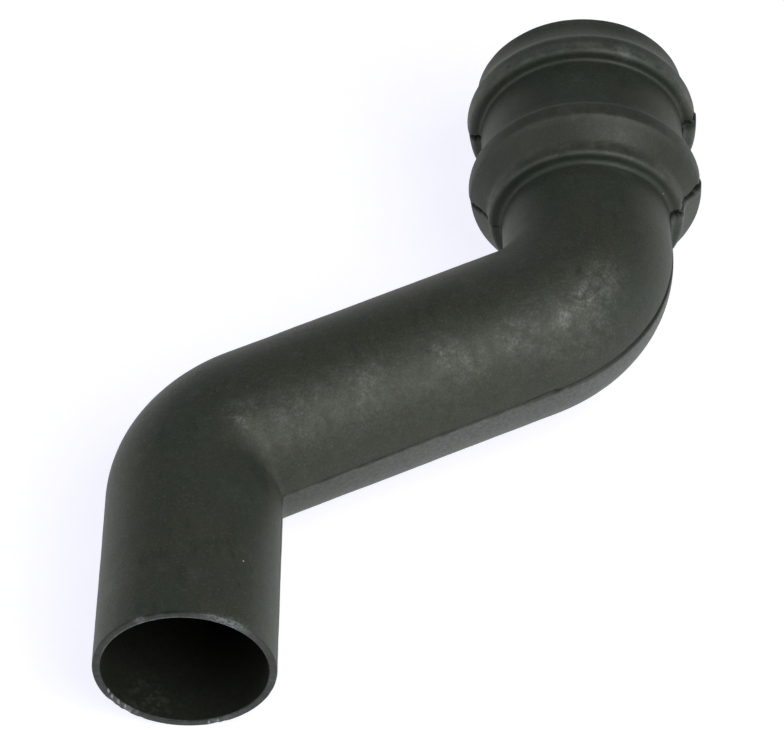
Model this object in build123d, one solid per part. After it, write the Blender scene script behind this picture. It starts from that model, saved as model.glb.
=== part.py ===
"""Cast-iron downpipe offset with a plain spigot at one end and a socket at the other.

The pipe is drawn flat, in the plane of its two bends, which is also the plane where the
two halves of the sand mould met: X runs sideways, Y along the pipe from the mouth of the
spigot to the mouth of the socket, and Z is square to that plane. At the end the casting
is turned a few degrees about Y and lifted, so that it lies on its spigot and its rolls.
"""
from math import asin, cos, degrees, radians, sin, tan
import os

from build123d import *

# Pipe, in millimetres and degrees
pipe_od = 67.0
wall = 3.0
projection = 152.4         # sideways distance between the two pipe axes
bend_turn = 67.5           # how far each bend turns the pipe
lower_throat = 2.3         # radius of the lower bend's inside corner
upper_throat = 7.7
spigot_length = 78.3       # straight, from the mouth to the lower bend
neck_length = 19.8         # straight, from the upper bend to the socket
rim_round = 0.6

# Socket, from the neck to the mouth
jointing_room = 4.0        # all round the spigot that the socket takes
socket_wall = 3.6          # of the plain barrel between the two rolls
shoulder_step = 5.5        # from the neck out to the shoulder
shoulder_root = 2.2
shoulder_edge = 2.0
shoulder_land = 4.0        # from the shoulder's face to where the lower roll rises
roll_height = 5.65         # of both rolls, over the barrel
climb_root = 5.0           # where the lower roll rises from the shoulder
climb_turn = 40.0          # slope of the lower roll on the shoulder's side
crest_edge = 2.4           # tight turn where a roll's side meets its crest
crest_slope = 12.0         # of the crest beside that edge
crest_swell = 21.0         # slow curve of the crest
crest_round = 4.0          # from the lower roll's crest down to the barrel
barrel_turn = 55.0         # steepest slope of the lower roll on the barrel's side
barrel_length = 21.2       # plain, between the two rolls
upper_roll_width = 7.6     # from its side to the end of its crest
lip_height = 1.4           # over the barrel
lip_turn = 39.0            # steepest slope of the upper roll on the lip's side
lip_length = 2.9
root_round = 1.5           # where the barrel meets the upper roll
edge_round = 1.0
floor_thickness = 5.0      # iron between the shoulder's face and the socket's floor
floor_round = 3.0

# Mould: the lower half lay a little out of line with the upper half
mismatch_turn = 0.12
mismatch_pivot = 20.0      # place along the spigot where the halves still agree
overrun = 3.0              # how far the raw casting and the cuts pass the mouths

pipe_r = pipe_od / 2
bore_r = pipe_r - wall
socket_r = pipe_r + jointing_room
barrel_r = socket_r + socket_wall
roll_r = barrel_r + roll_height
shoulder_r = pipe_r + shoulder_step
lip_r = barrel_r + lip_height
lower_bend_r = pipe_r + lower_throat
upper_bend_r = pipe_r + upper_throat
turn = radians(bend_turn)
slant_length = (projection - (lower_bend_r + upper_bend_r) * (1 - cos(turn))) / sin(turn)
neck_start = spigot_length + (lower_bend_r + upper_bend_r) * sin(turn) + slant_length * cos(turn)
shoulder_face = neck_start + neck_length
pipe_axis = Axis((0, 0, 0), (0, 1, 0))


def centreline(start):
    """The pipe's middle line from the spigot's mouth to the neck: straight, bend, slant, bend."""
    spigot = Line((0, start), (0, spigot_length))
    lower = JernArc(spigot @ 1, spigot % 1, lower_bend_r, -bend_turn)
    slant = PolarLine(lower @ 1, slant_length, direction=lower % 1)
    upper = JernArc(slant @ 1, slant % 1, upper_bend_r, bend_turn)
    return Wire([spigot, lower, slant, upper])


def round_bar(radius, start):
    """A bar of one radius along the middle line, up to the neck."""
    section = Plane(origin=(0, start, 0), z_dir=(0, 1, 0)) * Circle(radius)
    return sweep(section, path=centreline(start))


def turned(outline):
    """A solid turned about the socket's axis from an outline of radius and place along it."""
    return Pos(projection, 0, 0) * revolve(make_face(outline), pipe_axis)


def step_arcs(start, slope, first_radius, second_radius):
    """Two opposite arcs that take an outline running along the axis in or out by a step."""
    first = JernArc(start, (0, 1), first_radius, slope)
    second = JernArc(first @ 1, first % 1, second_radius, -slope)
    return first, second


def arcs_for(step, slope):
    """The two radii of a step, added up, for its height and its steepest slope."""
    return step / (1 - cos(radians(slope)))


def crest_arcs(start, direction, slope):
    """A roll's crest: a tight edge at the top of its side, then a slow curve up to level."""
    edge = JernArc(start, direction, crest_edge, slope - crest_slope)
    swell = JernArc(edge @ 1, edge % 1, crest_swell, crest_slope)
    return edge, swell


def crest_rise(slope):
    """How far a crest rises above the top of a side of that slope."""
    low, level = cos(radians(slope)), cos(radians(crest_slope))
    return crest_edge * (level - low) + crest_swell * (1 - level)


def lower_roll(land):
    """The lower roll's outline, from the shoulder over the crest and down to the barrel."""
    foot = JernArc(land @ 1, (0, 1), climb_root, -climb_turn)
    rise = roll_r - crest_rise(climb_turn) - (foot @ 1).X
    climb = Line(foot @ 1, foot @ 1 + Vector(rise, rise / tan(radians(climb_turn))))
    crest = crest_arcs(climb @ 1, climb % 1, climb_turn)
    fall_round = arcs_for(roll_height, barrel_turn) - crest_round
    fall = step_arcs(crest[1] @ 1, barrel_turn, crest_round, fall_round)
    return [foot, climb, *crest, *fall]


def upper_roll(barrel):
    """The upper roll's outline, from the barrel over the crest and down to the lip."""
    groove = JernArc(barrel @ 1, (0, 1), root_round, -90)
    side = Line(groove @ 1, (roll_r - crest_rise(90), (groove @ 1).Y))
    crown = crest_arcs(side @ 1, (1, 0), 90)
    crest = Line(crown[1] @ 1, (roll_r, (side @ 1).Y + upper_roll_width))
    lip_round = arcs_for(roll_height - lip_height, lip_turn) / 2
    return [groove, side, *crown, crest, *step_arcs(crest @ 1, lip_turn, lip_round, lip_round)]


def socket_outline():
    """The outside of the neck and socket, from the upper bend to the mouth."""
    neck = Line((pipe_r, neck_start), (pipe_r, shoulder_face - shoulder_root))
    root = JernArc(neck @ 1, (0, 1), shoulder_root, -90)
    face = Line(root @ 1, (shoulder_r - shoulder_edge, shoulder_face))
    corner = JernArc(face @ 1, (1, 0), shoulder_edge, 90)
    land = Line(corner @ 1, (shoulder_r, shoulder_face + shoulder_land))
    lower = lower_roll(land)
    barrel = Line(lower[-1] @ 1, lower[-1] @ 1 + Vector(0, barrel_length - root_round))
    upper = upper_roll(barrel)
    lip = Line(upper[-1] @ 1, upper[-1] @ 1 + Vector(0, lip_length))
    rim = JernArc(lip @ 1, (0, 1), edge_round, 90)
    return [neck, root, face, corner, land, *lower, barrel, *upper, lip, rim]


def raw_casting():
    """The outside of the casting, with its lower half turned a little against the upper half."""
    outline = socket_outline()
    mouth = (outline[-1] @ 1).Y
    back = Polyline(outline[-1] @ 1, (0, mouth), (0, neck_start), outline[0] @ 0)
    whole = round_bar(pipe_r, -overrun) + turned([*outline, back])
    mould = Pos(projection / 2, mouth / 2, 0)
    half = mould * Box(2 * projection, 2 * mouth, 2 * roll_r, align=(Align.CENTER, Align.CENTER, Align.MIN))
    pivot = Pos(0, mismatch_pivot, 0)
    lower = pivot * Rot(0, 0, -mismatch_turn) * pivot.inverse() * whole
    return (whole & half) + (lower & Pos(0, 0, -2 * roll_r) * half), mouth


def waterway(mouth):
    """What the core left open: the passage through the pipe, and the socket's chamber."""
    floor = shoulder_face + floor_thickness
    passage = Line((bore_r, neck_start), (bore_r, floor - edge_round))
    sill = JernArc(passage @ 1, (0, 1), edge_round, -90)
    floor_ring = Line(sill @ 1, (socket_r - floor_round, floor))
    corner = JernArc(floor_ring @ 1, (1, 0), floor_round, 90)
    side = Line(corner @ 1, (socket_r, mouth - rim_round))
    lead = JernArc(side @ 1, (0, 1), rim_round, -90)
    back = Polyline(lead @ 1, (socket_r + rim_round, mouth + overrun), (0, mouth + overrun),
                    (0, neck_start), passage @ 0)
    chamber = turned([passage, sill, floor_ring, corner, side, lead, back])
    return round_bar(bore_r, -2 * overrun) + chamber


def spigot_trim():
    """What is ground off the spigot's end: the overrun, and both edges of its rim."""
    outer = JernArc((pipe_r - rim_round, 0), (1, 0), rim_round, 90)
    out = Polyline(outer @ 1, (pipe_r + overrun, rim_round), (pipe_r + overrun, -2 * overrun),
                   (bore_r - overrun, -2 * overrun), (bore_r - overrun, rim_round), (bore_r, rim_round))
    inner = JernArc((bore_r, rim_round), (0, -1), rim_round, 90)
    rim = Line(inner @ 1, outer @ 0)
    return revolve(make_face([outer, out, inner, rim]), pipe_axis)


def offset_casting():
    """The finished casting in the frame of its mould."""
    raw, mouth = raw_casting()
    return raw - waterway(mouth) - spigot_trim()


def at_rest(casting):
    """The casting laid down on its spigot and rolls, over the middle of its own outline."""
    lean = degrees(asin((roll_r - pipe_r) / projection))
    laid = Rot(0, -lean, 0) * casting
    box = laid.bounding_box()
    return Pos(-box.center().X, -box.center().Y, -box.min.Z) * laid


os.makedirs("parts", exist_ok=True)
casting = at_rest(offset_casting())
export_step(casting, "parts/offset_casting.step")
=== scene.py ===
from math import asin, ceil, cos, pi, radians, sin

import bpy
import numpy as np
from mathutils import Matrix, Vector, noise


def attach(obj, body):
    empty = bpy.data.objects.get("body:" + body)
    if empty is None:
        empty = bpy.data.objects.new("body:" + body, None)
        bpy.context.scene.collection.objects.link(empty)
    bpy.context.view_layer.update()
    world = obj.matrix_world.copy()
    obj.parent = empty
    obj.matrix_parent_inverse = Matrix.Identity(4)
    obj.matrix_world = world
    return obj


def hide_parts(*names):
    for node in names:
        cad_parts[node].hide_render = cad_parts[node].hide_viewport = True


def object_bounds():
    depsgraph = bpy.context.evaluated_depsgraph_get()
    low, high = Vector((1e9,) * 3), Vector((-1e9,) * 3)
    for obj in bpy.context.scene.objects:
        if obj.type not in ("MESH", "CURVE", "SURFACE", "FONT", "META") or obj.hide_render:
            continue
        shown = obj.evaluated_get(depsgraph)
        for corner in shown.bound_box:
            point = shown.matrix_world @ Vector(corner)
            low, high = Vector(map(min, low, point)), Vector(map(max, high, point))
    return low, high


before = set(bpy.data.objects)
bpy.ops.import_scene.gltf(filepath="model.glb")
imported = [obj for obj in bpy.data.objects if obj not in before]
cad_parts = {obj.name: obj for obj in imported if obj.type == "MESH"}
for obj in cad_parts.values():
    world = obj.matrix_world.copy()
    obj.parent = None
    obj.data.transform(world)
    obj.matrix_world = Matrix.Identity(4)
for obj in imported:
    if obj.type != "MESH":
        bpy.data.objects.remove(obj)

cad_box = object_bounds()

# The line of the pipe: straight up from the spigot, a bend, a slant across and a bend back to a
# short neck. Its pattern was split down the middle, so the line lies flat in the mould's joint.
# Sizes are in millimetres: x sideways, y along the pipe, z square to the joint.
pipe_r = 33.5
bore_r = 30.5
projection = 152.4
bend_turn = radians(67.5)
lower_bend_r = 35.8
upper_bend_r = 41.2
spigot_length = 78.3
neck_length = 19.8
slant_length = (projection - (lower_bend_r + upper_bend_r) * (1 - cos(bend_turn))) / sin(bend_turn)
pipe_step = 1.1
arc_step = radians(11)


def go(path, length=0.0, radius=0.0, turn=0.0, step=pipe_step):
    """Carries a path on by a straight, or by an arc that turns left (+) or right (-)."""
    x, y, heading = path[-1]
    side = 1 if turn > 0 else -1
    length = radius * abs(turn) if turn else length
    pieces = max(1, ceil(length / step), ceil(abs(turn) / arc_step))
    for i in range(1, pieces + 1):
        new = heading + turn * i / pieces
        if turn:
            reached = (x + side * radius * (sin(new) - sin(heading)),
                       y - side * radius * (cos(new) - cos(heading)))
        else:
            reached = (x + length * cos(heading) * i / pieces, y + length * sin(heading) * i / pieces)
        path.append((*reached, new))


def pipe_line(step):
    """The pipe's middle line, from the spigot's mouth to the neck."""
    line = [(0.0, 0.0, pi / 2)]
    go(line, spigot_length, step=step)
    go(line, radius=lower_bend_r, turn=-bend_turn, step=step)
    go(line, slant_length, step=step)
    go(line, radius=upper_bend_r, turn=bend_turn, step=step)
    return line


# The outline of the socket, which is cast with the pipe: a square shoulder, a lower roll, a plain
# barrel, an upper roll and a short lip. Inside is the chamber for the spigot of the next pipe,
# with a flat floor. The spigot's own rim is ground flat, with both edges eased.
shoulder_r = 39.0
shoulder_root = 2.2
shoulder_edge = 2.0
shoulder_land = 4.0
climb_root = 5.0
climb_turn = radians(40)        # slope of the lower roll, up from the shoulder
crest_edge = 2.4                # both rolls: a tight turn at the near edge of the crest
crest_slope = radians(12)
crest_swell = 21.0              # then a slow curve over it
crest_round = 4.0
barrel_r = 41.1
barrel_turn = radians(55)       # slope of the lower roll, down to the barrel
barrel_length = 21.2
roll_r = 46.75
upper_roll_width = 6.8
lip_r = 42.5
lip_turn = radians(35)          # slope of the upper roll, down to the lip
lip_shoulder = 4.5
root_round = 1.5
edge_round = 1.0
rim_round = 0.6
socket_r = 37.5
floor_thickness = 5.0
floor_round = 3.0
whole_length = 287.543          # from the spigot's mouth to the socket's
socket_step = 0.5
chamber_step = 3.0
eased_step = 0.2
rim_step = 0.3
quarter = pi / 2


def step_rounds(height, slope):
    """The two radii, added up, of a pair of arcs that climb a step."""
    return height / (1 - cos(slope))


def crest_rise(slope):
    """How far a roll's crest rises above the top of a side of that slope."""
    return crest_edge * (cos(crest_slope) - cos(slope)) + crest_swell * (1 - cos(crest_slope))


def crest(path, slope):
    """Carries an outline from the top of a roll's side up to the level part of its crest."""
    go(path, radius=crest_edge, turn=slope - crest_slope, step=socket_step)
    go(path, radius=crest_swell, turn=crest_slope, step=socket_step)


neck_start = pipe_line(pipe_step)[-1][1]
shoulder_face = neck_start + neck_length
outside = [(pipe_r, neck_start, quarter)]
go(outside, neck_length - shoulder_root)
go(outside, radius=shoulder_root, turn=-quarter, step=socket_step)
go(outside, shoulder_r - pipe_r - shoulder_root - shoulder_edge, step=socket_step)
go(outside, radius=shoulder_edge, turn=quarter, step=socket_step)
go(outside, shoulder_land - shoulder_edge, step=socket_step)
# the lower roll and the barrel
lower_fall = step_rounds(roll_r - barrel_r, barrel_turn) - crest_round
go(outside, radius=climb_root, turn=-climb_turn, step=socket_step)
climb = roll_r - crest_rise(climb_turn) - outside[-1][0]
go(outside, climb / sin(climb_turn), step=socket_step)
crest(outside, climb_turn)
go(outside, radius=crest_round, turn=barrel_turn, step=socket_step)
go(outside, radius=lower_fall, turn=-barrel_turn, step=socket_step)
go(outside, barrel_length - root_round)
# the upper roll and the lip
upper_fall = step_rounds(roll_r - lip_r, lip_turn) - lip_shoulder
go(outside, radius=root_round, turn=-quarter, step=socket_step)
roll_side = outside[-1][1]
go(outside, roll_r - crest_rise(quarter) - outside[-1][0], step=socket_step)
crest(outside, quarter)
go(outside, roll_side + upper_roll_width - outside[-1][1], step=socket_step)
go(outside, radius=lip_shoulder, turn=lip_turn, step=socket_step)
go(outside, radius=upper_fall, turn=-lip_turn, step=socket_step)
go(outside, whole_length - edge_round - outside[-1][1], step=socket_step)
go(outside, radius=edge_round, turn=quarter, step=socket_step)
mouth = outside[-1][1]
go(outside, lip_r - edge_round - socket_r - rim_round, step=socket_step)
go(outside, radius=rim_round, turn=quarter, step=socket_step)
# the chamber, from the mouth down to the pipe's bore
inside = [outside[-1]]
go(inside, mouth - rim_round - shoulder_face - floor_thickness - floor_round, step=chamber_step)
go(inside, radius=floor_round, turn=-quarter, step=chamber_step)
go(inside, socket_r - floor_round - bore_r - edge_round, step=chamber_step)
go(inside, radius=edge_round, turn=quarter, step=chamber_step)
go(inside, shoulder_face + floor_thickness - edge_round - neck_start, step=chamber_step)
spigot_rim = [(bore_r, rim_round, -quarter)]
go(spigot_rim, radius=rim_round, turn=quarter, step=eased_step)
go(spigot_rim, pipe_r - bore_r - 2 * rim_round, step=rim_step)
go(spigot_rim, radius=rim_round, turn=quarter, step=eased_step)

# The skin of the casting, as rings: closed loops round the pipe or the socket. They follow the
# outside from the spigot to the socket's mouth, turn in over its rim and come back down the bore.
# The outside was cast against sand, the inside against a core, and the spigot's rim was ground.
PRIMED, GROUND, CORED = 0, 1, 2
near_depth = 50.0       # closer rings as far into the bore as the spigot's mouth shows
near_step = 1.5
deep_step = 3.0
rings = []              # middle x, middle y, heading of the axis, radius, slope, skin, fine


def ring_round(path_point, skin, fine):
    """A ring of the socket or of a rim, whose axis runs along y."""
    radius, place, slope = path_point
    middle = projection if place > spigot_length else 0.0
    rings.append((middle, place, quarter, radius, slope, skin, fine))


for x, y, heading in pipe_line(pipe_step)[1:-1]:
    rings.append((x, y, heading, pipe_r, quarter, PRIMED, True))
for point in outside:
    ring_round(point, PRIMED, True)
for point in inside[1:-1]:
    ring_round(point, CORED, False)
near_mouth = [p for p in pipe_line(near_step) if rim_round < p[1] < near_depth and p[0] == 0]
further_in = [p for p in pipe_line(deep_step) if p[1] > near_depth + 1 or p[0] > 0]
for x, y, heading in reversed(near_mouth + further_in):
    rings.append((x, y, heading, bore_r, -quarter, CORED, False))
for point in spigot_rim:
    ring_round(point, GROUND, True)

ring_x, places, headings, radii, slopes = np.array([ring[:5] for ring in rings]).T
skins = np.array([ring[5] for ring in rings])
is_fine = np.array([ring[6] for ring in rings])
path_length = np.cumsum(np.hypot(np.diff(ring_x), np.diff(places)) + np.abs(np.diff(radii)))
path_length = np.concatenate([[0], path_length])
on_socket = (ring_x == projection) & (skins == PRIMED) & (places > shoulder_face - 2)

# The joint of the mould. Iron ran into the gap between the two half moulds and was knocked off,
# which leaves a thin broken line along the pipe and ragged dark gaps across the rolls. The lower
# half mould lay a little out of line, so the lower half of the casting stands proud on one side.
mismatch_turn = radians(0.12)
mismatch_pivot = 20.0
half_round = pi * pipe_r
plain_step = 1.5
near_joint = np.array([0.06, 0.22, 0.42, 0.68, 1.0, 1.4, 1.9, 2.6, 3.5])    # closer beside the joint
plain_count = round((half_round - 2 * near_joint[-1]) / plain_step)
plain = np.linspace(near_joint[-1], half_round - near_joint[-1], plain_count + 1)[1:-1]
across = np.concatenate([near_joint, plain, half_round - near_joint[::-1]]) / half_round
if len(across) % 2 == 0:
    across = np.delete(across, len(across) // 2)


def ripple(values, size, seed):
    """A smooth random line, -1 to 1, with waves about `size` long."""
    return np.array([noise.noise((v / size, seed, 0.37)) for v in values])


# stops along the socket: before it, then the shoulder and lower roll, the barrel, the upper roll
roll_spans = [0, shoulder_face - 3, shoulder_face, 242, 246, 261, 264, 282, mouth + 1]


def joint_lift(side_seed, lower_lift, upper_lift, first_gap):
    """How far the joint strays from the middle plane, and where it is broken open, 0 to 1."""
    lifts = [0, 0, lower_lift, lower_lift, 0.3, 0.3, upper_lift, upper_lift, 0.3]
    base = np.where(on_socket, np.interp(places, roll_spans, lifts), 0)
    torn = np.round(2.2 * ripple(path_length, 2.6, side_seed))
    torn = 0.35 * torn + 0.35 * ripple(path_length, 1.3, side_seed + 4)
    calm = 0.35 * ripple(path_length, 24, side_seed + 8)
    calm = calm + 0.22 * ripple(path_length, 4.0, side_seed + 12)
    broken = np.interp(places, roll_spans, [0, 0, 1, 1, 0.1, 0.1, 1, 1, 0.1]) * on_socket
    broken = broken * np.clip((places - first_gap) / 2, 0, 1)
    return base + torn * broken + calm, broken


right_lift, right_broken = joint_lift(3.0, 1.2, 1.6, shoulder_face - 3)
left_lift, left_broken = joint_lift(21.0, 1.6, 3.0, shoulder_face + 4)
by_shoulder = (places > shoulder_face - 1) & (places < shoulder_face + 4)
right_wave = np.where(by_shoulder, 0.8, ripple(path_length, 4.0, 31.0))
left_wave = ripple(path_length, 4.0, 47.0)
# how open the joint's line is: a hairline on the left, and on the right uneven as far as the
# upper bend and widest round it
hairline = 0.6
right_gap = np.interp(path_length, [78, 120, 190, 205, 225, 240, 252, 268, 280, 300],
                      [0.6, 0.9, 1.0, 1.6, 1.6, 2.3, 2.6, 2.3, 1.3, 0.8])
unevenness = np.where(path_length < 235, 0.9, 0.15)
right_gap = right_gap * (1 + unevenness * ripple(path_length, 5.0, 61.0))
# the joint's dirt and painted shadow spread wider round the gap in the upper roll's side
right_spread = np.where(on_socket, np.interp(places, [260, 263, 268, 271], [1, 2.6, 2.6, 1]), 1)


def ring_angles(i):
    """The angles of one ring's points: the upper half from right to left, then the lower."""
    right = right_lift[i] / radii[i]
    left = left_lift[i] / radii[i]
    upper = right + (pi - left - right) * across
    lower = (pi - left) + (pi + left + right) * across
    return np.concatenate([upper, lower])


def joint_distance(i):
    """How far each point of a ring lies from the nearer joint, in millimetres, with its side."""
    run = across * pi * radii[i]
    nearer = np.minimum(run, run[-1] + run[0] - run)
    right_side = np.concatenate([across < 0.5, across > 0.5])
    return np.concatenate([nearer, nearer]), right_side


half_count = len(across)
per_ring = 2 * half_count
kept = np.concatenate([np.arange(0, half_count, 2), half_count + np.arange(2, half_count - 1, 2)])
lower_half = np.arange(per_ring) >= half_count

points, normals, ring_of, angle_of, low_of = [], [], [], [], []
crevice, joint_dirt_and_shadow, ledge_shade, proud = [], [], [], []
ring_rows = zip(ring_x, places, headings, radii, slopes)
for i, (middle_x, middle_y, heading, radius, slope) in enumerate(ring_rows):
    angles = ring_angles(i)
    distance, right_side = joint_distance(i)
    low = lower_half
    if not is_fine[i]:
        angles, distance, right_side, low = angles[kept], distance[kept], right_side[kept], low[kept]
    side = np.array([sin(heading), -cos(heading), 0])
    axis = np.array([cos(heading), sin(heading), 0])
    radial = np.cos(angles)[:, None] * side + np.sin(angles)[:, None] * np.array([0, 0, 1.0])
    points.append(np.array([middle_x, middle_y, 0]) + radius * radial)
    normals.append(sin(slope) * radial - cos(slope) * axis)
    ring_of.append(np.full(len(angles), i))
    angle_of.append(angles)
    low_of.append(low)
    if skins[i] == CORED:
        for values in (crevice, joint_dirt_and_shadow, ledge_shade, proud):
            values.append(np.zeros(len(angles)))
        continue
    # the joint's line where it is whole, and the gap where it is broken open
    wave = np.where(right_side, right_wave[i], left_wave[i])
    gap = np.where(right_side, right_gap[i], hairline)
    broken = np.where(right_side, right_broken[i], left_broken[i])
    whole = 1 - broken
    line_depth = 0.2 * gap + 0.8 * np.clip(gap - 1, 0, 2)
    line_width = 0.26 + 0.20 * np.clip(gap - hairline, 0, 9)
    depth = line_depth * whole + (2.8 + 1.2 * wave) * broken
    width = line_width * whole + (0.95 + 0.4 * wave) * broken
    width = width * np.where(low, 1 + 0.7 * np.clip(gap - hairline, 0, 1) * whole, 1)
    groove = np.exp(-(distance / width) ** 4) * np.where(low, 0.8, 1.0)
    fade = 1.0 if skins[i] == PRIMED and middle_y < mouth - 0.5 else 0.3
    crevice.append(depth * groove * fade)
    # dirt in the joint, with painted shadow in its gaps and under the upper half's step on the lower side
    strength = np.clip(0.25 + 0.45 * gap + 0.4 * wave + 0.6 * broken, 0, 1.3)
    width = width * np.where(right_side, right_spread[i], 1)
    joint_dirt_and_shadow.append(np.clip(2.2 * np.exp(-(distance / width) ** 2), 0, 1) * strength * fade)
    # painted shade lies along the upper half's edge where the joint's line is wide
    ledge = np.where(low, 0.0, 0.45 * np.clip(gap - 0.7, 0, 1))
    ledge_shade.append(np.exp(-(distance / 2.2) ** 2) * ledge)
    # the lower half's shift fades out over both mouths, whose rims were dressed
    share = np.clip(middle_y / mismatch_pivot, 0, 1) if radius > bore_r + 0.1 else 0.0
    if middle_x == projection and middle_y > mouth - edge_round:
        share = np.clip((radius - socket_r) / (lip_r - socket_r), 0, 1)
    proud.append(low * share)

points, normals = np.concatenate(points), np.concatenate(normals)
ring_of, angle_of, low_of = map(np.concatenate, (ring_of, angle_of, low_of))
crevice, joint_dirt_and_shadow, ledge_shade, proud = map(np.concatenate, (crevice, joint_dirt_and_shadow, ledge_shade, proud))
skin_of = skins[ring_of]

# The cast surface: sand leaves long soft hollows on the outside, and the core burnt on to the
# iron leaves a coarser, lumpy skin in the bore. The spigot's rim is ground flat and has been
# knocked since.


def lumps(spots, size, seed):
    """Smooth random heights, -1 to 1, with hills about `size` millimetres across."""
    return np.array([noise.noise((x / size + seed, y / size - seed, z / size)) for x, y, z in spots])


def turned_from(degrees_round):
    """How far round each point is from an angle, -pi to pi."""
    return (angle_of - radians(degrees_round) + pi) % (2 * pi) - pi


broad = lumps(points, 22, 3.1)
middling = lumps(points, 6.5, 7.7)
small = lumps(points, 2.4, 12.3)
sand_height = 0.11 * broad + 0.05 * middling + 0.02 * small - 0.03
core_height = 0.30 * broad + 0.35 * middling + 0.16 * small
ground_height = -0.02 * (1 + middling)
height = np.where(skin_of == CORED, core_height, sand_height)
height = np.where(skin_of == GROUND, ground_height, height) - crevice
points = points + normals * height[:, None]

# knocks on the spigot's rim: angle in degrees, size in millimetres, depth
rim_knocks = [(208, 1.6, 0.5), (214, 0.9, 0.35), (221, 1.3, 0.45), (232, 0.8, 0.3), (64, 1.4, 0.3),
              (47, 2.0, 0.35), (112, 1.2, 0.3), (281, 1.1, 0.35), (287, 0.8, 0.25), (330, 0.9, 0.25),
              (155, 0.9, 0.25)]
rim_reach = 4.0
rim_zone = (places[ring_of] < rim_reach) & (skin_of != CORED)
outer_half = radii[ring_of] > 32.2
knock = np.zeros(len(points))
for degrees_round, size, deep in rim_knocks:
    away = np.hypot(turned_from(degrees_round) * pipe_r, np.minimum(points[:, 1], 6) * 0.8)
    knock += deep * np.exp(-(away / size) ** 2) * rim_zone * outer_half
points[:, 1] += np.where(skin_of == GROUND, knock, 0)

# the lower half is turned a little against the upper one
under_joint = -points[:, 2]
turned = -mismatch_turn * proud
shift_x = -turned * (points[:, 1] - mismatch_pivot)
shift_y = turned * points[:, 0]
points[:, 0] += shift_x
points[:, 1] += shift_y

# The finished casting, lying down. It rests on the underside of its spigot and on both rolls, so
# its plane leans a few degrees. Its box is centred on the origin, as the frame has it.
lean = asin((roll_r - pipe_r) / projection)
mm = 0.001
laid = np.stack([points[:, 0] * cos(lean) - points[:, 2] * sin(lean), points[:, 1],
                 points[:, 0] * sin(lean) + points[:, 2] * cos(lean)], axis=1)
spigot_mouth = np.array([-82.799, -143.7715, 33.5035])
laid = (laid + spigot_mouth) * mm
low_corner, high_corner = (np.array(corner) for corner in cad_box)
laid = np.clip(laid, low_corner, high_corner)

starts = np.concatenate([[0], np.cumsum(np.where(is_fine, per_ring, len(kept)))])
faces, face_skins = [], []
for i in range(len(rings)):
    after = (i + 1) % len(rings)
    a, b = starts[i], starts[after]
    skin = max(skins[i], skins[after]) if CORED in (skins[i], skins[after]) else skins[i]
    before = len(faces)
    if is_fine[i] == is_fine[after]:
        count = per_ring if is_fine[i] else len(kept)
        faces += [(a + j, b + j, b + (j + 1) % count, a + (j + 1) % count) for j in range(count)]
    else:
        # fans of triangles join a fine ring to a coarse one
        fine_start, coarse_start = (a, b) if is_fine[i] else (b, a)
        for j in range(len(kept)):
            k = (j + 1) % len(kept)
            run = [kept[j]]
            while run[-1] != kept[k]:
                run.append((run[-1] + 1) % per_ring)
            if kept[j] == half_count - 1:
                run = [half_count - 1, half_count, half_count + 1, half_count + 2]
            split = len(run) // 2
            fan = [(fine_start + run[n], fine_start + run[n + 1], coarse_start + (j if n < split else k))
                   for n in range(len(run) - 1)]
            fan.insert(split, (fine_start + run[split], coarse_start + k, coarse_start + j))
            faces += [f if not is_fine[i] else f[::-1] for f in fan]
    face_skins += [skin] * (len(faces) - before)

casting_mesh = bpy.data.meshes.new("offset")
casting_mesh.from_pydata(laid.tolist(), [], [tuple(int(v) for v in f) for f in faces])
casting_mesh.polygons.foreach_set("use_smooth", np.ones(len(faces), bool))
casting = bpy.data.objects.new("offset", casting_mesh)
bpy.context.collection.objects.link(casting)
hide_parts("offset_casting")
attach(casting, "root")

# Dust, dirt, wear and painted light on the casting, each kept as a value for every point. Chalky
# dust has settled on the upper side, dirt and painted shadow fill the joint, painted shade darkens
# the corners, the crests of the rolls are rubbed and carry painted highlights, as does a spot beside
# the lower bend's throat, the spigot's rim is scuffed down to bare iron with a painted highlight on
# its inner edge, and a painted reflection of the floor lightens the lower half under the joint.


def mark(name, values):
    """Keeps a value for each point of the casting, for its finish to read."""
    attribute = casting_mesh.attributes.new(name, "FLOAT", "POINT")
    attribute.data.foreach_set("value", np.asarray(values, np.float32))


def spot(x, y, z, size):
    """How near each point is to a place, 0 to 1. Sizes are in millimetres."""
    away = np.sqrt((laid[:, 0] / mm - x) ** 2 + (laid[:, 1] / mm - y) ** 2 + (laid[:, 2] / mm - z) ** 2)
    return np.exp(-(away / size) ** 2)


def along_socket(stops, values):
    """A value that changes along the socket's outside, for each ring."""
    return np.interp(places, stops, values) * on_socket


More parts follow.
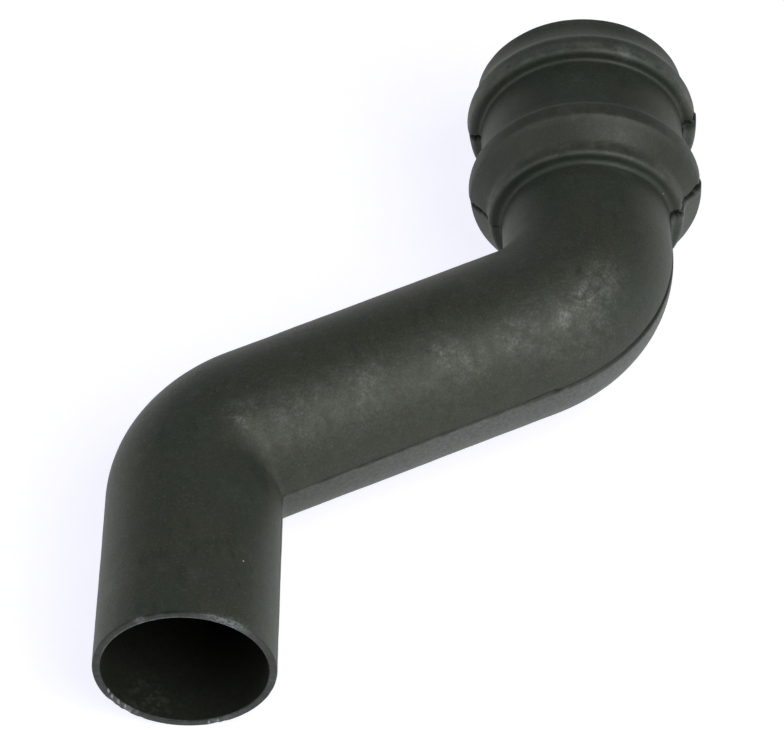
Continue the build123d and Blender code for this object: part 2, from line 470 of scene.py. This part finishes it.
# patches of dust: place, size, strength; the last is a painted highlight beside the lower bend's throat
dust_and_highlight_spots = [(65, 2, 73, 3.2, 2.6), (58, -6, 70, 3.5, 1.1), (72, 6, 73, 9, 0.6), (75, 13, 74, 7, 0.6),
              (38, -14, 70, 6, 0.6), (62, -4, 70, 17, 0.35), (12, -22, 69, 5, 0.9), (22, -23, 66, 6, 0.8),
              (-17, -33, 68, 7, 0.6), (-17, -39, 63, 14, 0.35), (-36, -45, 63, 16, 0.35),
              (10, -28, 66, 18, 0.35), (45, -14, 68, 16, 0.35), (-50, -50, 62, 12, 0.35),
              (56, 90, 91, 6, 0.4), (67, 86, 93, 6, 0.35), (86, 122, 90, 3, 1.5), (83, 78, 85, 3, 0.7),
              (70, -8, 62, 14, 0.25), (-108.6, -121, 54.8, 9, 0.45), (-103, -35, 52.6, 12, 0.4),
              (-98, -26, 58, 10, 0.3), (104, 68.2, 48.3, 3.5, 1.2), (106.5, 70.4, 50.2, 3, 1.0),
              (110.3, 120.8, 65.2, 3.5, 1.0), (111, 77.6, 50.1, 3.5, 0.9), (29.7, 76.3, 55.8, 3, 1.2),
              (30, 72.8, 47.9, 2.5, 1.2), (23.6, 126.2, 57.4, 6, 0.7), (23.5, 86.1, 56.4, 5, 0.6),
              (-64.5, -49.5, 65.6, 6, 0.8)]
mark("dust_and_highlight", sum(strength * spot(x, y, z, size) for x, y, z, size, strength in dust_and_highlight_spots))

# coarse dark grit, most on the slant and the socket, and a browner coat on the slant
grit = np.interp(path_length, [0, 78, 100, 130, 230, 270, 283, 295, 300],
                 [0.1, 0.15, 0.4, 0.7, 0.7, 0.8, 0.15, 0.15, 0.9])
mark("grit", grit[ring_of])
mark("olive", np.interp(path_length, [105, 130, 215, 240], [0, 0.9, 0.9, 0])[ring_of])

# scuffs on the spigot's rim: angle, spread in degrees, strength; and a painted highlight along the top of the
# inner edge
rim_scuffs = [(53, 13, 1.0), (110, 2.5, 0.6), (205, 1.2, 1.0), (209, 0.9, 0.8), (213, 1.2, 1.0),
              (219, 1.2, 0.9), (222, 0.8, 0.7), (227, 1.0, 0.6), (281, 3, 0.5), (290, 2, 0.5),
              (300, 12, 0.2), (345, 8, 0.2)]
scuff_and_highlight = np.zeros(len(points))
for degrees_round, spread, strength in rim_scuffs:
    scuff_and_highlight += strength * np.exp(-(turned_from(degrees_round) / radians(spread)) ** 2) * rim_zone
bright_top = np.interp(angle_of, np.radians([68, 76, 105, 113, 148, 160]), [0, 1, 1, 0.4, 0.35, 0])
inner_edge_highlight = (radii[ring_of] < bore_r + 0.7) * rim_zone * bright_top
scuff_and_highlight = scuff_and_highlight * np.exp(-np.maximum(points[:, 1], 0) / 1.2) + 0.6 * knock + 1.3 * inner_edge_highlight
mark("scuff_and_highlight", np.clip(scuff_and_highlight, 0, 1))

# rubbed edges, partly painted highlight where they catch the light: shoulder, lower roll, upper roll, lip
wear_and_highlight_places = [211, 213.3, 217.5, 220, 224.5, 226.8, 229, 231.5, 234,
                 264, 265.5, 268, 270, 273, 276, 284, mouth]
mark("crest", along_socket(wear_and_highlight_places, [0, 1.0, 1.0, 0, 0, 1.0, 0.35, 0.2, 0,
                                           0, 1.5, 1.2, 0.2, 0.8, 0, 0.2, 0.8])[ring_of])

# painted shade: on the square faces, the lower roll's cone, the neck's root and by the bend's throat
squareness = np.clip((np.cos(slopes) - 0.80) / 0.15, 0, 1) * on_socket
cone = along_socket([218, 220, 236, 240], [0, 1, 1, 0])
root = along_socket([209, 211, 212, 212.6], [0, 0.8, 0.8, 0])
edge = along_socket([212.5, 213.5, 216, 218], [0, 1, 1, 0])
corner_shade_and_rim_dirt = np.where(places < 260, 0.75, 0.3) * squareness + 0.42 * cone + root
corner_shade_and_rim_dirt = np.where(places < mouth - 2, corner_shade_and_rim_dirt, 0)
degrees_of = np.degrees(angle_of) % 360
# the painted shade is deeper on the left side, away from the key lamp, and reaches the shoulder's edge there
left_more = np.interp(degrees_of, [105, 140, 180, 230], [0, 1, 1, 0])
corner_shade_and_rim_dirt = corner_shade_and_rim_dirt[ring_of] * (1 + 0.8 * left_more) + 0.35 * left_more * edge[ring_of]
# painted shade on the spigot's side of the lower bend's throat, which sharpens its crease
throat_shade = 0.5 * (spot(-61.5, -63.3, 59.0, 4) + spot(-58.5, -67.8, 56.0, 4) + spot(-56.5, -73.1, 53.5, 4)
                + 0.6 * spot(-64.5, -58.2, 61.9, 3.5))
rim_dirt = np.interp(degrees_of, [0, 30, 40, 68, 76, 86, 104, 107, 113, 116,
                                  150, 190, 205, 235, 262, 275, 290, 310, 345, 360],
                     [0.6, 0.3, 0, 0, 0.6, 1.0, 1.0, 0.3, 0.3, 1.0,
                      0.9, 0.85, 0.85, 0.6, 0.1, 0.15, 0.7, 0.95, 0.95, 0.6])
rim_dirt = np.where(skin_of == GROUND, rim_dirt, 0)
# the mark holds the painted shade and the real old dirt on the spigot's rim
mark("corner_shade_and_rim_dirt", np.clip(ledge_shade + corner_shade_and_rim_dirt + throat_shade + rim_dirt, 0, 1))
mark("joint_dirt_and_shadow", np.clip(joint_dirt_and_shadow, 0, 1))

# painted reflection of the white floor: a pale band under the joint, strongest on the right,
# that dies away round the underside
right_painted_reflection = np.interp(path_length, [80, 110, 160, 190, 225, 245, 275, 290],
                        [0.2, 0.7, 1.25, 1.5, 1.35, 1.6, 1.5, 1.0])[ring_of]
left_painted_reflection = 0.4 * on_socket[ring_of] + 0.2
painted_reflection = np.where(np.cos(angle_of) > 0, right_painted_reflection, left_painted_reflection)
painted_reflection_reach = np.where(on_socket, 14, 26)[ring_of]
painted_reflection = painted_reflection * (0.25 + 0.75 * np.exp(-(under_joint / painted_reflection_reach) ** 4))
mark("painted_reflection", low_of * (skin_of == PRIMED) * painted_reflection)

# inside: a crust of dried dirt by the spigot's mouth, and the socket's chamber, which is cleaner
mark("crust", 0.6 * spot(-98, -137, 7.5, 8))
mark("chamber", (skin_of == CORED) & (places[ring_of] > shoulder_face))

# The finish of the outside: one thin coat of dark green-grey primer, matt, over the fine grain
# that the sand left. All three skins share the group for the grain, and the ground rim shares
# those for worn specks and small marks as well.


def new_group(name, inputs, outputs):
    """A shader group with named number, colour or place sockets."""
    group = bpy.data.node_groups.new(name, "ShaderNodeTree")
    for side, sockets in (("INPUT", inputs), ("OUTPUT", outputs)):
        for socket, kind, value in sockets:
            made = group.interface.new_socket(name=socket, in_out=side, socket_type=kind)
            if value is not None:
                made.default_value = value
    return group, group.nodes.new("NodeGroupInput"), group.nodes.new("NodeGroupOutput")


def add(tree, kind, links=(), **settings):
    """Adds a node, sets its settings and its input values, and joins what feeds it."""
    node = tree.nodes.new(kind)
    for name, value in settings.items():
        setattr(node, name, value)
    for socket, source in dict(links).items():
        target = node.inputs[socket]
        if isinstance(source, bpy.types.NodeSocket):
            tree.links.new(source, target)
        else:
            target.default_value = source
    return node


def noise_at(tree, place, size, detail=2.0, roughness=0.5):
    """Noise with features about `size` millimetres across."""
    return add(tree, "ShaderNodeTexNoise", {"Vector": place, "Scale": 1000 / size, "Detail": detail,
                                            "Roughness": roughness}).outputs["Fac"]


def sharpened(tree, value, low, high):
    """Stretches a value so that low becomes 0 and high becomes 1."""
    return add(tree, "ShaderNodeMapRange",
               {"Value": value, "From Min": low, "From Max": high}).outputs["Result"]


def blotches(tree, place, size, detail, roughness, low, high):
    """Noise of a size in millimetres, stretched into blotches with bare ground between them."""
    return sharpened(tree, noise_at(tree, place, size, detail, roughness), low, high)


def times(tree, a, b):
    """Multiplies two values."""
    return add(tree, "ShaderNodeMath", {0: a, 1: b}, operation="MULTIPLY").outputs[0]


def tinted(tree, amount, under, over):
    """Mixes one colour over another."""
    mix = add(tree, "ShaderNodeMix", {0: amount}, data_type="RGBA")
    for index, colour in ((6, under), (7, over)):
        if isinstance(colour, bpy.types.NodeSocket):
            tree.links.new(colour, mix.inputs[index])
        else:
            mix.inputs[index].default_value = (*colour, 1)
    return mix.outputs[2]


# sand grain: the print of the mould's sand, with a few larger pits
grain, given, out = new_group(
    "sand_grain", [("Place", "NodeSocketVector", None), ("Pits", "NodeSocketFloat", 0.3)],
    [("Height", "NodeSocketFloat", None), ("Tone", "NodeSocketFloat", None),
     ("Speckle", "NodeSocketFloat", None)])
fine_grain = noise_at(grain, given.outputs["Place"], 0.9, 3, 0.65)
coarse_grain = noise_at(grain, given.outputs["Place"], 1.7, 3, 0.6)
pits = sharpened(grain, noise_at(grain, given.outputs["Place"], 1.3, 1), 0.70, 0.82)
grain_height = add(grain, "ShaderNodeMath", {0: fine_grain, 1: times(grain, coarse_grain, 0.8)}).outputs[0]
grain_height = add(grain, "ShaderNodeMath", {0: grain_height, 1: times(grain, pits, given.outputs["Pits"])},
                   operation="SUBTRACT").outputs[0]
grain.links.new(grain_height, out.inputs["Height"])
grain.links.new(coarse_grain, out.inputs["Tone"])
grain.links.new(fine_grain, out.inputs["Speckle"])

# worn through: a scuff or a knock, broken up into specks of bare iron; on the rim's inner edge, a painted
# highlight
worn_and_highlight, given, out = new_group(
    "worn_through_and_highlight", [("Place", "NodeSocketVector", None), ("Amount", "NodeSocketFloat", 0.0),
                     ("Scale", "NodeSocketFloat", 1000.0), ("Low", "NodeSocketFloat", 0.4),
                     ("High", "NodeSocketFloat", 0.6)],
    [("Mask", "NodeSocketFloat", None)])
specks = add(worn_and_highlight, "ShaderNodeTexNoise", {"Vector": given.outputs["Place"], "Scale": given.outputs["Scale"],
                                          "Detail": 3, "Roughness": 0.7}).outputs["Fac"]
specks = sharpened(worn_and_highlight, specks, given.outputs["Low"], given.outputs["High"])
worn_and_highlight.links.new(times(worn_and_highlight, given.outputs["Amount"], specks), out.inputs["Mask"])

# small mark: one speck or nick at a place, drawn out along the directions that Squeeze makes small
small_mark, given, out = new_group(
    "small_mark", [("Place", "NodeSocketVector", None), ("Centre", "NodeSocketVector", None),
                   ("Squeeze", "NodeSocketVector", (1, 1, 1)), ("Outer", "NodeSocketFloat", 0.001),
                   ("Inner", "NodeSocketFloat", 0.0005)],
    [("Mask", "NodeSocketFloat", None)])
squeezed = [add(small_mark, "ShaderNodeVectorMath", {0: given.outputs[end], 1: given.outputs["Squeeze"]},
                operation="MULTIPLY").outputs["Vector"] for end in ("Place", "Centre")]
away = add(small_mark, "ShaderNodeVectorMath", {0: squeezed[0], 1: squeezed[1]}, operation="DISTANCE")
mark_mask = sharpened(small_mark, away.outputs["Value"], given.outputs["Outer"], given.outputs["Inner"])
small_mark.links.new(mark_mask, out.inputs["Mask"])

# chalk: pale dust, in soft clouds broken up into specks; it also paints the highlight by the throat
chalk_and_highlight, given, out = new_group(
    "chalk_dust_and_highlight", [("Place", "NodeSocketVector", None), ("Amount", "NodeSocketFloat", 0.5)],
    [("Mask", "NodeSocketFloat", None)])
cloud = blotches(chalk_and_highlight, given.outputs["Place"], 5, 5, 0.75, 0.38, 0.68)
speck = blotches(chalk_and_highlight, given.outputs["Place"], 1.1, 3, 0.7, 0.42, 0.70)
veil = add(chalk_and_highlight, "ShaderNodeMath", {0: times(chalk_and_highlight, speck, 0.7), 1: 0.3}).outputs[0]
chalk_and_highlight.links.new(times(chalk_and_highlight, times(chalk_and_highlight, cloud, veil), given.outputs["Amount"]), out.inputs["Mask"])


def finish(name):
    """A material with its shader and the place on the casting, ready for its nodes."""
    material = bpy.data.materials.new(name)
    material.use_nodes = True
    tree = material.node_tree
    place = add(tree, "ShaderNodeTexCoord").outputs["Object"]
    return material, tree, tree.nodes["Principled BSDF"], place


def kept_mark(tree, name):
    """Reads one of the casting's marks."""
    return add(tree, "ShaderNodeAttribute", attribute_name=name).outputs["Fac"]


def grained(tree, shader, place, pits, depth):
    """Puts the sand grain's relief on a shader, and gives back the grain, for its two tones."""
    sand = add(tree, "ShaderNodeGroup", {"Place": place, "Pits": pits}, node_tree=grain).outputs
    relief = {"Height": sand["Height"], "Distance": depth * mm, "Strength": 1.0}
    tree.links.new(add(tree, "ShaderNodeBump", relief).outputs["Normal"], shader.inputs["Normal"])
    return sand


def worn_and_highlight_specks(tree, place, size, low, high):
    """Where the scuffs have gone through to bare iron, and the painted highlight on the rim's inner edge, in
    specks of a size in millimetres.
    """
    scuffs = kept_mark(tree, "scuff_and_highlight")
    return add(tree, "ShaderNodeGroup", {"Place": place, "Amount": scuffs, "Scale": 1000 / size,
                                         "Low": low, "High": high}, node_tree=worn_and_highlight).outputs["Mask"]


def marked(tree, place, centre, outer, inner, squeeze=(1, 1, 1)):
    """One small mark at a place. Place and sizes are in millimetres."""
    return add(tree, "ShaderNodeGroup", {"Place": place, "Centre": tuple(v * mm for v in centre),
                                         "Squeeze": squeeze, "Outer": outer * mm, "Inner": inner * mm},
               node_tree=small_mark).outputs["Mask"]


green = (0.0222, 0.0312, 0.0225)
brown = (0.0300, 0.0315, 0.0203)
dark = (0.019, 0.022, 0.018)
stain_colour = (0.009, 0.013, 0.009)
grit_colour = (0.012, 0.015, 0.012)
# a pale tone of the coat, also the colour of the painted floor reflection
pale_and_reflection_colour = (0.112, 0.122, 0.122)
chalk_and_highlight_colour = (0.20, 0.22, 0.20)
iron_colour = (0.17, 0.185, 0.20)
corner_shade_colour = (0.008, 0.014, 0.010)
joint_colour = (0.003, 0.004, 0.003)
# single specks: place, size, colour
primer_specks = [((99.5, 68.2, 62.8), 0.55, (0.30, 0.33, 0.29)),
                 ((-61.1, -113.9, 59.0), 0.42, (0.42, 0.45, 0.40)),
                 ((-49.6, -119.1, 37.4), 1.0, (0.004, 0.005, 0.004)),
                 ((-62.2, -125.6, 59.8), 1.1, (0.010, 0.013, 0.010))]
primer, tree, shader, place = finish("primer")
sand = grained(tree, shader, place, 0.3, 0.10)
# the coat: green and brown areas, darker in the sand's hollows, with drawn-out stains
patch = sharpened(tree, noise_at(tree, place, 32, 3), 0.38, 0.62)
patch = add(tree, "ShaderNodeMath", {0: patch, 1: kept_mark(tree, "olive")}, operation="MAXIMUM").outputs[0]
colour = tinted(tree, patch, green, brown)
colour = tinted(tree, times(tree, sharpened(tree, sand["Tone"], 0.3, 0.7), 0.40), colour, dark)
drawn_out = add(tree, "ShaderNodeVectorMath", {0: place, 1: (1.0, 0.4, 1.0)}, operation="MULTIPLY")
stain = blotches(tree, drawn_out.outputs["Vector"], 6, 5, 0.75, 0.52, 0.68)
colour = tinted(tree, times(tree, stain, 0.6), colour, stain_colour)
# pale areas, pale grains, dark grit and the painted reflection of the floor under the joint
paler = blotches(tree, place, 9, 4, 0.7, 0.55, 0.80)
colour = tinted(tree, times(tree, paler, 0.20), colour, pale_and_reflection_colour)
colour = tinted(tree, times(tree, sharpened(tree, sand["Speckle"], 0.55, 0.68), 0.25), colour, pale_and_reflection_colour)
gritty = times(tree, kept_mark(tree, "grit"), blotches(tree, place, 0.75, 2, 0.6, 0.42, 0.62))
colour = tinted(tree, times(tree, gritty, 0.55), colour, grit_colour)
reflected = times(tree, kept_mark(tree, "painted_reflection"), blotches(tree, place, 1.5, 4, 0.75, 0.22, 0.70))
colour = tinted(tree, times(tree, reflected, 0.8), colour, pale_and_reflection_colour)
# dust, a painted highlight by the throat, worn and highlit crests, bare iron and single specks
dusting_and_highlight = add(tree, "ShaderNodeGroup", {"Place": place, "Amount": kept_mark(tree, "dust_and_highlight")}, node_tree=chalk_and_highlight)
colour = tinted(tree, times(tree, dusting_and_highlight.outputs["Mask"], 0.8), colour, chalk_and_highlight_colour)
# the rubbed crests, partly painted highlight on the lit edges
wear_and_highlight = times(tree, kept_mark(tree, "crest"), blotches(tree, place, 5, 5, 0.7, 0.30, 0.72))
colour = tinted(tree, times(tree, wear_and_highlight, 0.20), colour, chalk_and_highlight_colour)
colour = tinted(tree, worn_and_highlight_specks(tree, place, 0.9, 0.40, 0.60), colour, iron_colour)
for centre, size, speck_colour in primer_specks:
    colour = tinted(tree, marked(tree, place, centre, size, 0.5 * size), colour, speck_colour)
# painted shade in the corners, and dirt with painted shadow in the joint
colour = tinted(tree, times(tree, kept_mark(tree, "corner_shade_and_rim_dirt"), 0.7), colour, corner_shade_colour)
colour = tinted(tree, kept_mark(tree, "joint_dirt_and_shadow"), colour, joint_colour)
tree.links.new(colour, shader.inputs["Base Color"])
dull = add(tree, "ShaderNodeMapRange", {"Value": sand["Tone"], "To Min": 0.49, "To Max": 0.61})
tree.links.new(dull.outputs["Result"], shader.inputs["Roughness"])
shader.inputs["Specular Tint"].default_value = (0.96, 1.0, 0.91, 1)

# The spigot's rim: the iron was ground flat after casting, and its grey shows through a thin
# coat. Old dirt lies round it, it has scuffs and small bright nicks, and a painted highlight
# lies along the top of its inner edge.
rim_light = (0.028, 0.034, 0.030)
rim_dark = (0.014, 0.017, 0.015)
rim_grain = (0.09, 0.10, 0.10)
old_dirt_colour = (0.005, 0.008, 0.006)
rim_iron_and_highlight = (0.20, 0.22, 0.23)
nick_colour = (0.25, 0.28, 0.27)
nick_places = [(-111.3, -143.6, 22.0), (-110.3, -143.6, 18.6), (-108.2, -143.6, 15.2),
               (-106.0, -143.6, 12.4), (-104.6, -143.6, 9.4), (-76.0, -143.6, 2.2),
               (-72.6, -143.6, 3.2)]
nick_squeeze = (1, 0.3, 0.35)
ground_iron, tree, shader, place = finish("ground_iron")
sand = grained(tree, shader, place, 0.3, 0.06)
colour = tinted(tree, blotches(tree, place, 3.5, 4, 0.75, 0.38, 0.62), rim_light, rim_dark)
colour = tinted(tree, times(tree, sharpened(tree, sand["Speckle"], 0.5, 0.7), 0.35), colour, rim_grain)
old_dirt = times(tree, kept_mark(tree, "corner_shade_and_rim_dirt"), blotches(tree, place, 3.5, 4, 0.7, 0.30, 0.55))
colour = tinted(tree, old_dirt, colour, old_dirt_colour)
# bare iron in the scuffs, and the painted highlight along the top of the inner edge
colour = tinted(tree, worn_and_highlight_specks(tree, place, 0.8, 0.36, 0.56), colour, rim_iron_and_highlight)
for centre in nick_places:
    colour = tinted(tree, marked(tree, place, centre, 0.55, 0.25, nick_squeeze), colour, nick_colour)
tree.links.new(colour, shader.inputs["Base Color"])
shader.inputs["Roughness"].default_value = 0.5
shader.inputs["Specular IOR Level"].default_value = 0.45

# The inside: the iron was cast against a core of sand, which burnt on to it and left a rough dark
# skin. The socket's chamber is a little paler, and dirt has crusted inside the spigot's mouth.
burnt = (0.007, 0.008, 0.005)
burnt_light = (0.012, 0.014, 0.009)
chamber_dark = (0.020, 0.024, 0.019)
chamber_light = (0.034, 0.038, 0.031)
crust_colour = (0.050, 0.068, 0.050)
burnt_core, tree, shader, place = finish("burnt_core")
sand = grained(tree, shader, place, 0.6, 0.20)
colour = tinted(tree, sharpened(tree, sand["Tone"], 0.35, 0.7), burnt, burnt_light)
chamber_colour = tinted(tree, sand["Tone"], chamber_dark, chamber_light)
colour = tinted(tree, kept_mark(tree, "chamber"), colour, chamber_colour)
crusty = times(tree, kept_mark(tree, "crust"), blotches(tree, place, 2.8, 4, 0.7, 0.48, 0.62))
colour = tinted(tree, crusty, colour, crust_colour)
tree.links.new(colour, shader.inputs["Base Color"])
shader.inputs["Roughness"].default_value = 0.7
shader.inputs["Specular IOR Level"].default_value = 0.25

for material in (primer, ground_iron, burnt_core):
    casting_mesh.materials.append(material)
casting_mesh.polygons.foreach_set("material_index", np.array(face_skins, np.int32))

# The floor: a wide sheet of white paper. It is white to the camera, in reflections and through
# glass, keeps the casting's faint cool shadow, and throws back only a part of the light.
floor_half = 6
floor_mesh = bpy.data.meshes.new("floor")
floor_mesh.from_pydata([(-floor_half, -floor_half, 0), (floor_half, -floor_half, 0),
                        (floor_half, floor_half, 0), (-floor_half, floor_half, 0)], [], [(0, 1, 2, 3)])
floor = bpy.data.objects.new("floor", floor_mesh)
bpy.context.collection.objects.link(floor)


def sees_background(tree, rays):
    """Whether a ray sees the background: straight, in a reflection or through glass."""
    seen = rays["Is Camera Ray"]
    for ray in (rays["Is Glossy Ray"], rays["Is Transmission Ray"]):
        seen = add(tree, "ShaderNodeMath", {0: seen, 1: ray}, operation="MAXIMUM").outputs[0]
    return seen


paper, tree, shader, place = finish("paper")
rays = add(tree, "ShaderNodeLightPath").outputs
seen = sees_background(tree, rays)
paper_tone = noise_at(tree, place, 400)
paper_white = tinted(tree, paper_tone, (0.84, 0.84, 0.85), (0.86, 0.86, 0.87))
paper_bounce = tinted(tree, paper_tone, (0.355, 0.355, 0.36), (0.365, 0.365, 0.37))
tree.links.new(tinted(tree, seen, paper_white, paper_bounce), shader.inputs["Base Color"])
shader.inputs["Roughness"].default_value = 0.9
shader.inputs["Specular IOR Level"].default_value = 0.0
glow_colour = tinted(tree, rays["Is Camera Ray"], (0.78, 0.78, 0.78), (0.80, 0.80, 0.885))
glow = add(tree, "ShaderNodeEmission", {"Color": tinted(tree, seen, (0, 0, 0), glow_colour), "Strength": 1.0})
both = add(tree, "ShaderNodeAddShader", {0: shader.outputs["BSDF"], 1: glow.outputs["Emission"]})
tree.links.new(both.outputs[0], tree.nodes["Material Output"].inputs["Surface"])
floor_mesh.materials.append(paper)

# The studio: a dim sky with a white band low round it, beyond the floor, a large soft lamp in
# front on the right, weaker ones on the left and behind, and the camera.
sky = bpy.data.worlds.new("sky")
bpy.context.scene.world = sky
sky.use_nodes = True
tree = sky.node_tree
tree.nodes.clear()
seen = sees_background(tree, add(tree, "ShaderNodeLightPath").outputs)
direction = add(tree, "ShaderNodeTexCoord").outputs["Generated"]
upward = add(tree, "ShaderNodeSeparateXYZ", {0: direction}).outputs["Z"]
white_share = times(tree, seen, sharpened(tree, upward, 0.13, 0.07))
dim = add(tree, "ShaderNodeBackground", {"Color": (1, 1, 1, 1), "Strength": 0.115})
white = add(tree, "ShaderNodeBackground", {"Color": (1, 1, 1, 1), "Strength": 1.0})
banded = add(tree, "ShaderNodeMixShader", {0: white_share, 1: dim.outputs[0], 2: white.outputs[0]})
add(tree, "ShaderNodeOutputWorld", {"Surface": banded.outputs[0]})

lamp_reach = 1.5
lamp_aim = (0, 0, 0.04)


def soft_light(name, turn_right, rise, width, watts, colour):
    """A square soft lamp, turned to the right of the front and raised, in degrees."""
    turn_right, rise = radians(turn_right), radians(rise)
    data = bpy.data.lights.new(name, "AREA")
    data.shape = "RECTANGLE"
    data.size = width
    data.size_y = width
    data.energy = watts
    data.color = colour
    lamp = bpy.data.objects.new(name, data)
    lamp.location = (lamp_reach * cos(rise) * sin(turn_right), -lamp_reach * cos(rise) * cos(turn_right),
                     lamp_reach * sin(rise))
    lamp.rotation_euler = (Vector(lamp_aim) - lamp.location).to_track_quat("-Z", "Y").to_euler()
    bpy.context.collection.objects.link(lamp)


soft_light("key", 45, 45, 1.1, 17.5, (1.0, 1.0, 0.98))
soft_light("left", -68, 34, 1.2, 6.6, (0.97, 1.0, 1.0))
soft_light("behind", 180, 22, 0.8, 1.2, (1.0, 1.0, 1.0))

camera_data = bpy.data.cameras.new("camera")
camera_data.lens = 153.18
camera_data.sensor_width = 36
camera = bpy.data.objects.new("camera", camera_data)
camera.location = (0.017574, -0.877990, 0.990698)
camera.rotation_euler = (radians(42.5564), radians(1.3435), radians(0.2403))
bpy.context.collection.objects.link(camera)
bpy.context.scene.camera = camera
bpy.context.scene.view_settings.view_transform = "Standard"
